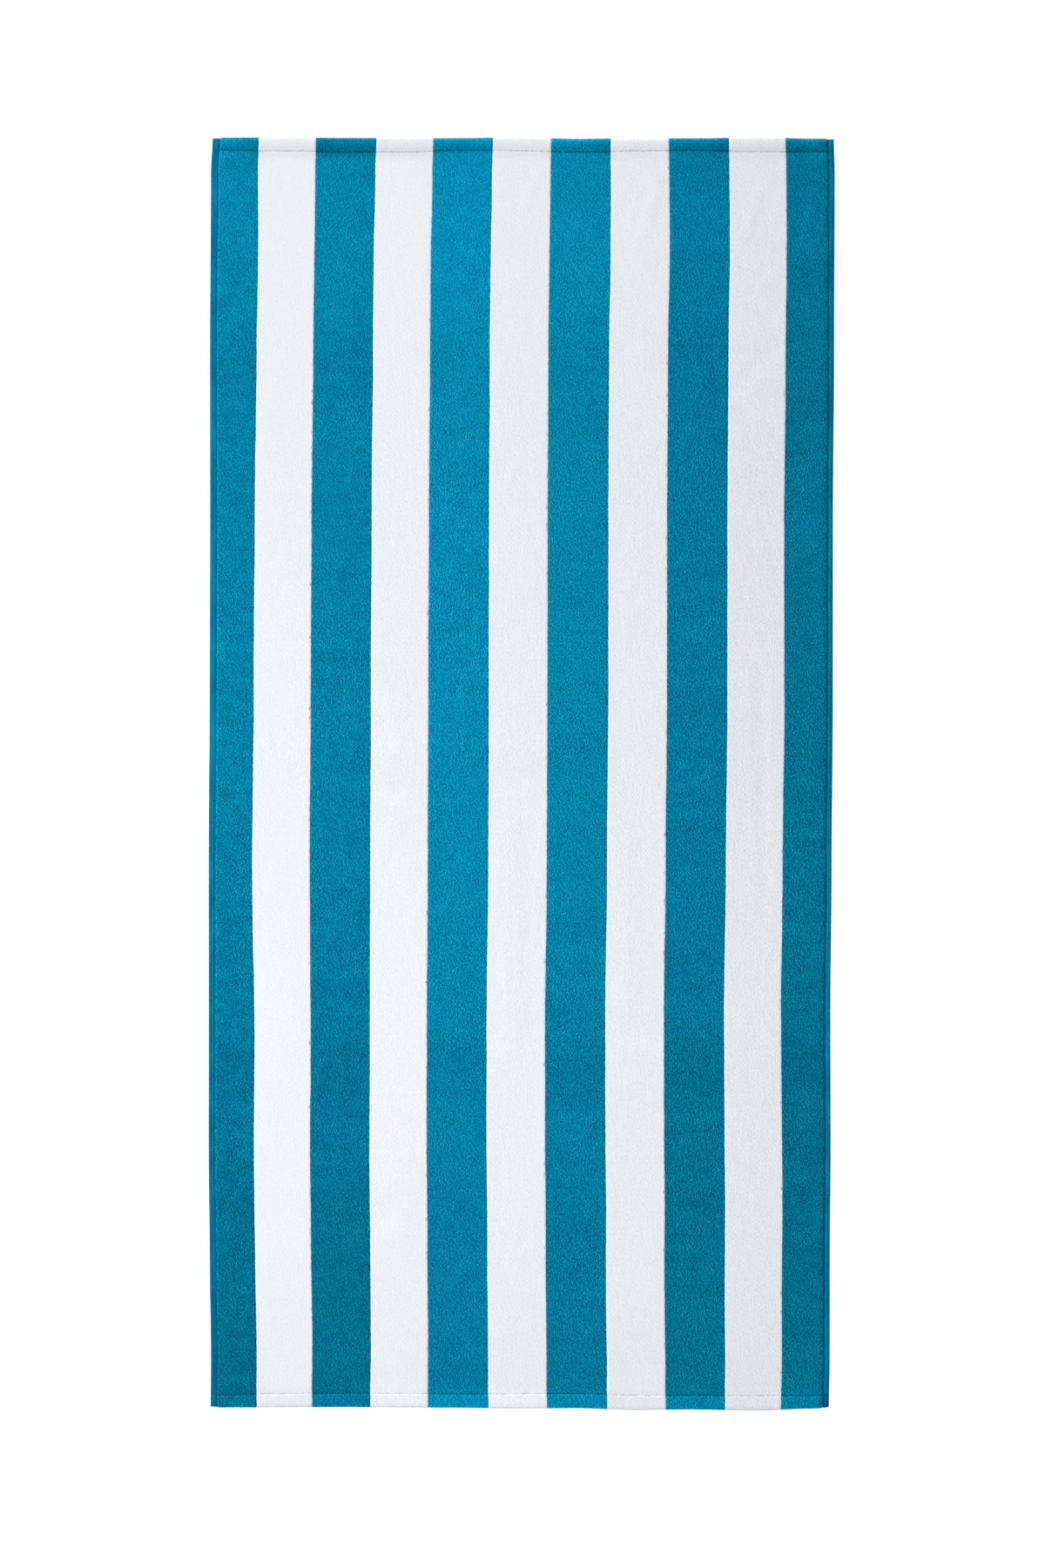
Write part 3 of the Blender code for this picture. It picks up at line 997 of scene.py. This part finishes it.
def shoulder_shift(rng, columns, y):
    """How far the shoulder beside a groove strays across the cloth, row by row."""
    inset = np.abs(columns.inset)
    near = ease((TUFT_REACH - inset) / (TUFT_REACH - LEFT_BAND)) * (inset > SEAM_REACH)
    wander = noise_along(rng, y, TUFT_CELL)[:, None] * TUFT_WANDER
    left, right = read_table(GROOVES, y)[:2]
    return (wander + np.where(columns.inset > 0.0, left[:, None], -right[:, None])) * near


def side_band(side, rows, material):
    """A flat-woven side band with its rounded edge and its groove."""
    line, _ = smooth_line(BAND_SECTIONS, BAND_STEP)
    is_left = side == "left"
    sign, narrowing = (1, 1.0) if is_left else (-1, RIGHT_BAND / LEFT_BAND)
    middle = row_places(rows, np.array([BAND_SHARE if is_left else 1.0 - BAND_SHARE]))[:, 0]
    left, right = read_table(SIDES, middle)
    edge = left if is_left else right
    left_groove, right_groove, left_tone, right_tone = read_table(GROOVES, middle)
    further, lighter = (left_groove, left_tone) if is_left else (right_groove, right_tone)
    inset = line[:, 0] * narrowing + further[:, None] * ease(line[:, 0] / LEFT_BAND)
    x = edge[:, None] + sign * inset
    y = row_places(rows, (x - left[:, None]) / (right - left)[:, None])
    z = np.maximum(rows.height[:, None] * line[:, 1] / TERRY_THICKNESS, FLOOR_GAP)
    points = np.stack([x, y, z], axis=-1)[:, ::sign]
    piece = grid_object(f"side_band_{side}", points, material, BAND_LANES)
    # The weave's tone with painted light on the rounded edge and painted shade into the groove.
    tone = np.interp(line[:, 0], *(LEFT_BAND_PAINTED_LIGHT if is_left else RIGHT_BAND_PAINTED_LIGHT))[::sign]
    add_value(piece, "tone", lighter[:, None] + tone)
    return piece


def ground_cloth(rows, materials):
    """The woven ground under the pile, closed, with its flat underside and thin edges."""
    count = len(rows.share)
    last = count - END_ROWS
    keep = np.r_[0:END_ROWS, END_ROWS:last:ROW_STEP, last:count]
    rows = Lines(*(column[keep] for column in rows))
    even_shares = [np.linspace(*part) for part in GROUND_SHARES]
    shares = np.unique(np.concatenate([STRIPE_EDGES, *even_shares]))
    middle = row_places(rows, np.array([0.5]))[:, 0]
    left, right = read_table(SIDES, middle)
    inset = np.minimum(shares, 1.0 - shares) * FLAT_WIDTH
    lean = np.stack([lean_at(share, middle) for share in shares], axis=1)
    x = left[:, None] + (right - left)[:, None] * shares + lean * ease(inset / LEAN_REACH)
    y = row_places(rows, shares)
    cover = ease(inset / GROUND_COVER)
    low, more = GROUND_HEIGHT
    top = rows.height[:, None] * (low + more * cover) + fold_height(x, y) * GROUND_FOLDS * cover
    top = np.maximum(top, GROUND_RIM)
    points = np.concatenate([np.stack([x, y, z], axis=-1) for z in (top, np.zeros(x.shape))])
    mesh = centred_mesh("ground_cloth", points, slab_faces(*x.shape))
    piece = shown_piece("ground_cloth", mesh, materials)
    paint_stripes(mesh)
    for name, value in (("grain", 1.0), ("seam", 0.0), ("tone_and_painted_light", GROUND_NAP)):
        add_value(piece, name, np.full(len(mesh.vertices), value))
    return piece


def slab_faces(rows, columns):
    """The faces of a closed slab between an upper and a lower grid of points."""
    count = rows * columns
    upper = np.arange(count).reshape(rows, columns)
    lower = upper + count
    walls = [
        (lower[0], upper[0]),
        (upper[-1], lower[-1]),
        (upper[:, 0], lower[:, 0]),
        (lower[:, -1], upper[:, -1]),
    ]
    faces = grid_faces(upper) + grid_faces(lower, flipped=True)
    for wall in walls:
        faces += grid_faces(np.stack(wall))
    return faces


def paint_stripes(mesh):
    """Gives every other stripe the second material."""
    centres = np.empty(len(mesh.polygons) * 3, np.float32)
    mesh.polygons.foreach_get("center", centres)
    numbers = stripe_numbers(centres[0::3] + MIDDLE[0], centres[1::3] + MIDDLE[1])
    mesh.polygons.foreach_set("material_index", (numbers % 2).astype(np.int32))


def stitch_row(name, end, rng, materials):
    """A row of stitches that holds one hem, sunk into the pile. Each takes its stripe's thread."""
    left, right = SIDES[0 if end == "foot" else -1][1:]
    count = int((right - left - 2 * STITCH_MARGIN) / STITCH_PITCH)
    centre_x = left + STITCH_MARGIN + (np.arange(count) + 0.5) * STITCH_PITCH
    centre_x += rng.uniform(-STRAY_ACROSS, STRAY_ACROSS, count)
    across = (centre_x - left) / (right - left)
    foot, head = read_table(ENDS, across)
    foot_line, head_line = read_table(STITCH_LINES, across)
    centre_y = foot + foot_line if end == "foot" else head - head_line
    centre_y = centre_y + rng.uniform(-STRAY_ALONG, STRAY_ALONG, count)
    half = 0.5 * STITCH_LENGTH * rng.uniform(*STITCH_LENGTHS, count)
    on_band = np.minimum(centre_x - left, right - centre_x) < BAND_REACH
    pull = lattice_noise(rng, centre_x, np.zeros(count), PULL_CELL, 1.0) * PULL
    centre_z = np.where(on_band, BAND_THREAD, PILE_THREAD + pull)
    centre_z = centre_z + rng.uniform(*THREAD_SINK, count)
    slant = rng.uniform(-STITCH_SLANT, STITCH_SLANT, count)
    angle = np.linspace(0.0, 2 * math.pi, THREAD_RING, endpoint=False)
    swing = np.linspace(-1.0, 1.0, THREAD_TURNS)
    girth = THREAD_RADIUS * np.sqrt(1.0 - swing**2 * THREAD_TAPER)[:, None]
    sag = -THREAD_SAG * swing[:, None] ** 2
    run_x = (half[:, None] * swing)[:, :, None]
    run_y = ((slant * half)[:, None] * swing)[:, :, None]
    x = centre_x[:, None, None] + run_x
    y = centre_y[:, None, None] + run_y + girth * np.cos(angle) * THREAD_SPREAD
    z = centre_z[:, None, None] + sag + girth * np.sin(angle)
    points = np.stack(np.broadcast_arrays(x, y, z), axis=-1)
    faces = []
    for index in np.arange(count * THREAD_TURNS * THREAD_RING).reshape(count, THREAD_TURNS, -1):
        faces += grid_faces(np.hstack([index, index[:, :1]]), flipped=True)
        faces += [index[0].tolist(), index[-1, ::-1].tolist()]
    mesh = centred_mesh(name, points, faces)
    piece = shown_piece(name, mesh, materials)
    paint_stripes(mesh)
    return piece


def main():
    rng = np.random.default_rng(MAIN_SEED)
    rows = length_lines()
    materials = {
        "blue": terry_material("blue_terry", BLUE),
        "white": terry_material("white_terry", WHITE),
    }
    # Threads darker than the yarn around them: partly their own colour, partly painted shade of the
    # dents they pull into the pile.
    threads = [
        thread_material("shaded_thread_on_blue", (0.002, 0.070, 0.130)),
        thread_material("shaded_thread_on_white", (0.34, 0.37, 0.40)),
    ]
    weave = flat_weave_material("flat_weave")
    ground = ground_cloth(rows, [materials["blue"], materials["white"]])
    pile = [pile_stripe(number, rng, rows, materials) for number in range(len(STRIPE_TONES))]
    bands = [side_band(side, rows, weave) for side in ("left", "right")]
    stitches = [stitch_row(f"stitches_{end}", end, rng, threads) for end in ("foot", "head")]
    on_cloth = [*pile, *bands, *stitches]
    for piece in [ground, *on_cloth]:
        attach(piece, BODY)
        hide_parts(NODE)


# The room

PIXEL = 0.00105  # metres of the floor in one pixel of the photo
PHOTO_WIDE, PHOTO_HIGH = 1200, 1800
TABLES_AT = (598.7, 887.3)  # the photo's pixel where the tables have X = 0, Y = 0
LENS, SENSOR = 100.0, 36.0


def add_camera():
    """Straight above, with the photo's framing."""
    data = bpy.data.cameras.new("camera")
    data.lens, data.sensor_width = LENS, SENSOR
    data.clip_end = 100.0
    camera = add_object("camera", data)
    high = PHOTO_HIGH * PIXEL
    aim_x = (PHOTO_WIDE / 2 - TABLES_AT[0]) * PIXEL - MIDDLE[0]
    aim_y = (TABLES_AT[1] - PHOTO_HIGH / 2) * PIXEL - MIDDLE[1]
    camera.location = (aim_x, aim_y, high * LENS / SENSOR)
    bpy.context.scene.camera = camera


def add_sun(name, strength, soft, azimuth, elevation):
    """A far light from an azimuth, counted from +X towards +Y, and an elevation, in degrees."""
    data = bpy.data.lights.new(name, "SUN")
    data.energy = strength
    data.angle = math.radians(soft)
    lamp = add_object(name, data)
    lamp.rotation_euler = (0.0, math.radians(90.0 - elevation), math.radians(azimuth))


def add_panel(name, place, size, watts):
    """A soft square panel of light that faces the towel."""
    data = bpy.data.lights.new(name, "AREA")
    data.energy, data.size = watts, size
    lamp = add_object(name, data)
    lamp.location = place
    lamp.rotation_euler = (-lamp.location).to_track_quat("-Z", "Y").to_euler()


def glowing(name, strength):
    material, nt = new_material(name)
    set_inputs(nt.nodes["Principled BSDF"], {
        "Base Color": (0.8, 0.8, 0.8, 1.0),
        "Specular IOR Level": 0.0,
        "Emission Color": (1.0, 1.0, 1.0, 1.0),
        "Emission Strength": strength,
    })
    return material


def add_room():
    """A white floor, a dome that only the camera sees, and an even light from all around."""
    bpy.ops.mesh.primitive_plane_add(size=60.0)
    floor = bpy.context.object
    floor.name = "floor"
    floor.data.materials.append(glowing("white_floor", strength=0.90))
    bpy.ops.mesh.primitive_uv_sphere_add(segments=48, ring_count=24, radius=28.0)
    dome = bpy.context.object
    dome.name = "backdrop"
    dome.data.materials.append(glowing("white_backdrop", strength=1.2))
    for ray in ("visible_diffuse", "visible_glossy", "visible_transmission", "visible_shadow"):
        setattr(dome, ray, False)
    world = bpy.data.worlds.new("world")
    world.use_nodes = True
    background = world.node_tree.nodes["Background"]
    set_inputs(background, {"Color": (1.0, 1.0, 1.0, 1.0), "Strength": 0.30})
    bpy.context.scene.world = world
    bpy.context.scene.view_settings.view_transform = "Standard"


main()
add_camera()
add_sun("key", strength=2.35, soft=14.0, azimuth=126.0, elevation=40.0)
add_panel("side_panel", place=(-1.9, -0.05, 1.3), size=1.2, watts=29.0)
add_room()
